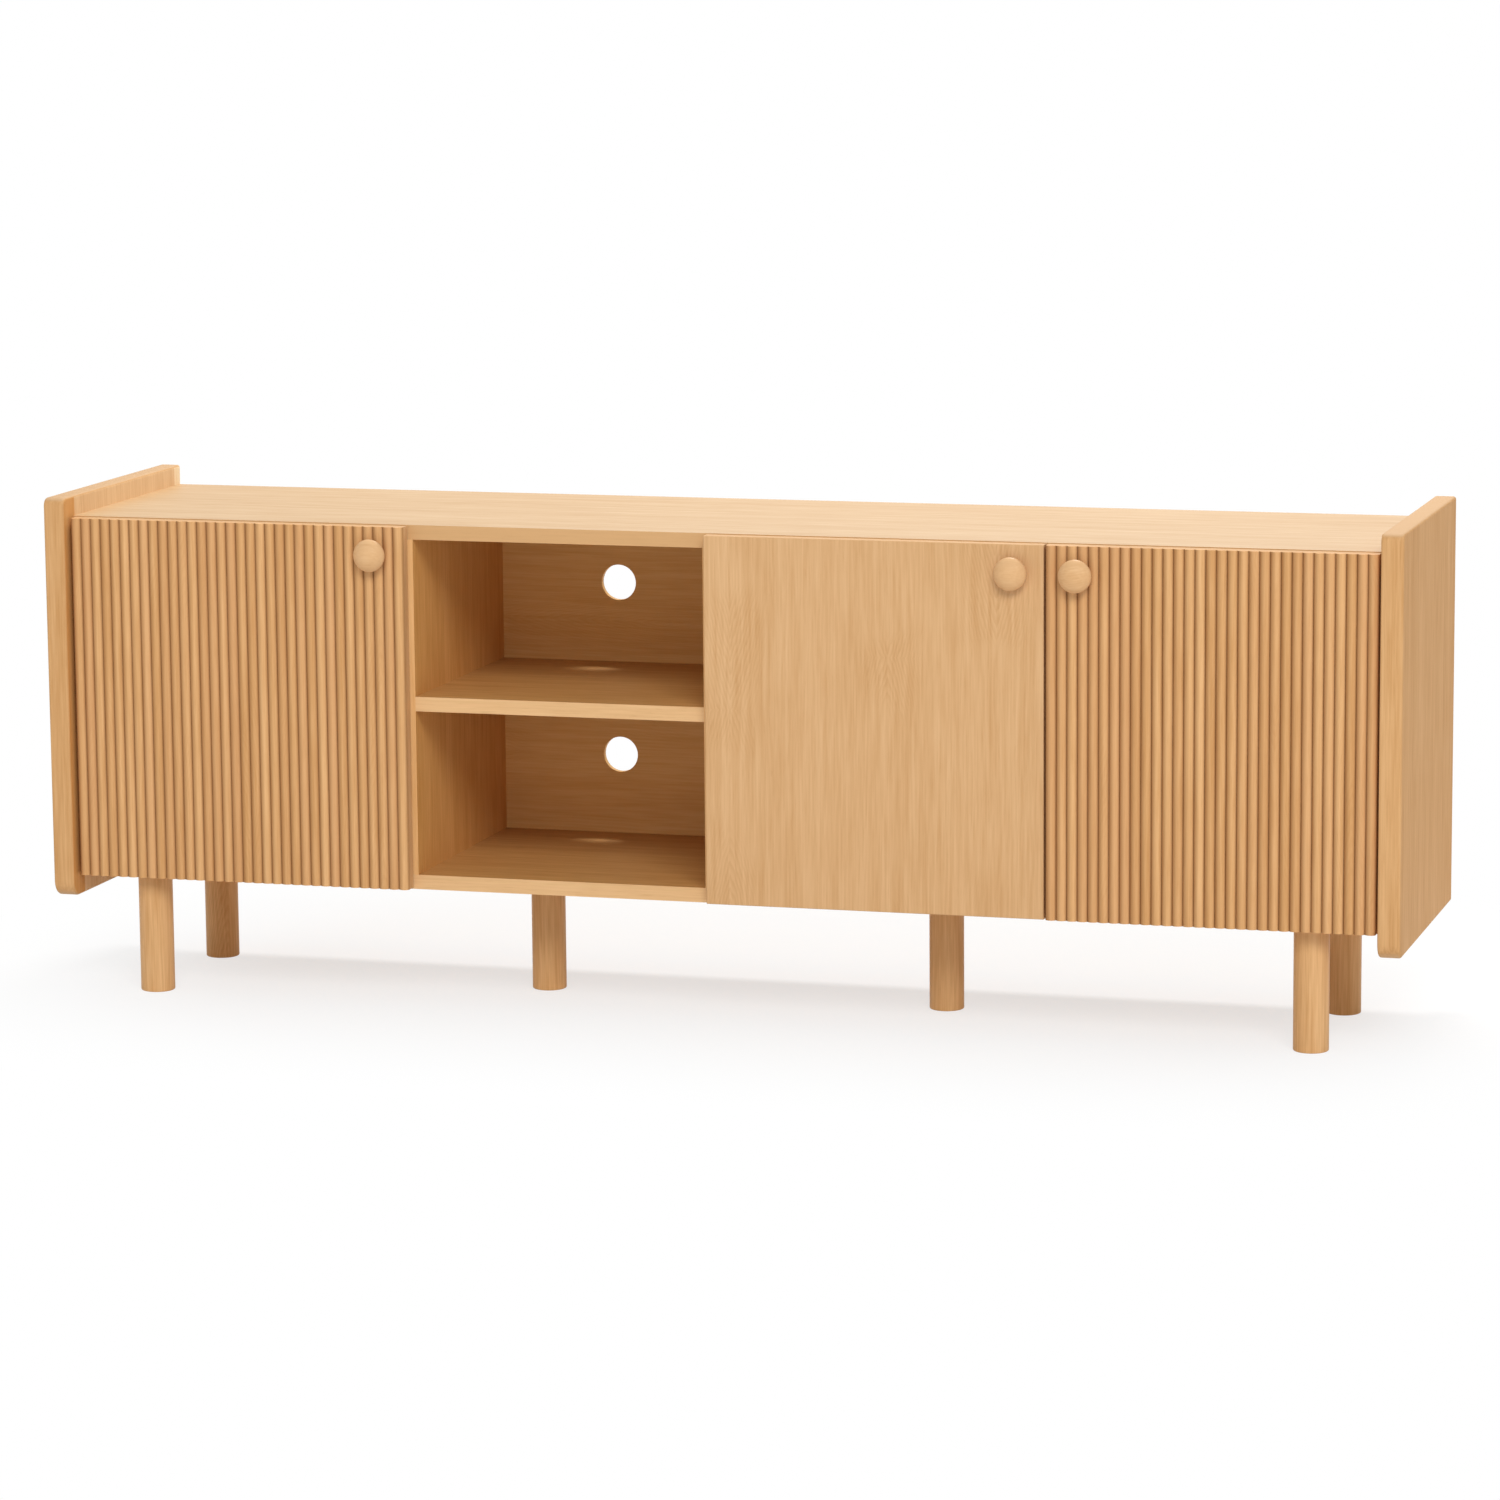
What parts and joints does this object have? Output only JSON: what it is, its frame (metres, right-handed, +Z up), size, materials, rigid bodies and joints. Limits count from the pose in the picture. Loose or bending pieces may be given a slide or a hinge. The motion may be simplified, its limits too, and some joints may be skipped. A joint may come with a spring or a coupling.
{
  "type": "media cabinet",
  "caption": "Low oak media cabinet on round legs: reeded outer doors, a flat door and an open bay with a shelf and cable holes between thick side panels.",
  "frame": {"origin": "on the floor, under the middle of the overall bounding box", "axes": "+X to the right seen from the front, -Y the front with the doors, +Z up"},
  "size_m": [1.7, 0.398, 0.627],
  "materials": {
    "oak_sides": "satin",
    "oak_carcass": "satin",
    "oak_fronts": "satin",
    "oak_reeds": "satin",
    "oak_back": "satin",
    "oak_legs": "satin",
    "oak_knobs": "satin",
    "beech_tenon": "raw",
    "zinc_steel": "zinc plated",
    "nickel_steel": "nickel plated",
    "clear_bumper": "clear soft plastic"
  },
  "bodies": {
    "cabinet": {"side_panel_left": "oak_sides", "side_panel_right": "oak_sides", "top_board": "oak_carcass", "bottom_board": "oak_carcass", "open_shelf": "oak_carcass", "divider_left": "oak_carcass", "divider_middle": "oak_carcass", "divider_right": "oak_carcass", "back_panel_left": "oak_back", "back_panel_open": "oak_back", "back_panel_right": "oak_back", "loose_shelf_left": "oak_carcass", "loose_shelf_middle": "oak_carcass", "loose_shelf_right": "oak_carcass", "leg_front_left": "oak_legs", "leg_front_right": "oak_legs", "leg_rear_left": "oak_legs", "leg_rear_right": "oak_legs", "leg_middle_left": "oak_legs", "leg_middle_right": "oak_legs", "loose_tenons": "beech_tenon", "shelf_cleats": "oak_carcass", "leg_bolts": "zinc_steel", "door_bumpers": "clear_bumper", "left_door_hinge_arms": "nickel_steel", "left_door_hinge_plates": "nickel_steel", "middle_door_hinge_arms": "nickel_steel", "middle_door_hinge_plates": "nickel_steel", "right_door_hinge_arms": "nickel_steel", "right_door_hinge_plates": "nickel_steel"},
    "left_door": {"left_door_slab": "oak_fronts", "left_door_reeded_facing": "oak_reeds", "left_door_knob": "oak_knobs", "left_door_hinge_cups": "nickel_steel"},
    "middle_door": {"middle_door_slab": "oak_fronts", "middle_door_knob": "oak_knobs", "middle_door_hinge_cups": "nickel_steel"},
    "right_door": {"right_door_slab": "oak_fronts", "right_door_reeded_facing": "oak_reeds", "right_door_knob": "oak_knobs", "right_door_hinge_cups": "nickel_steel"}
  },
  "joints": [
    {"name": "left_door_hinge", "type": "hinge", "parent": "cabinet", "child": "left_door", "pos_m": [-0.8125, -0.172, 0.376], "axis": [0, 0, -1], "range_deg": [0, 105]},
    {"name": "middle_door_hinge", "type": "hinge", "parent": "cabinet", "child": "middle_door", "pos_m": [0.007, -0.168, 0.376], "axis": [0, 0, -1], "range_deg": [0, 105]},
    {"name": "right_door_hinge", "type": "hinge", "parent": "cabinet", "child": "right_door", "pos_m": [0.8125, -0.172, 0.376], "axis": [0, 0, 1], "range_deg": [0, 105]}
  ]
}
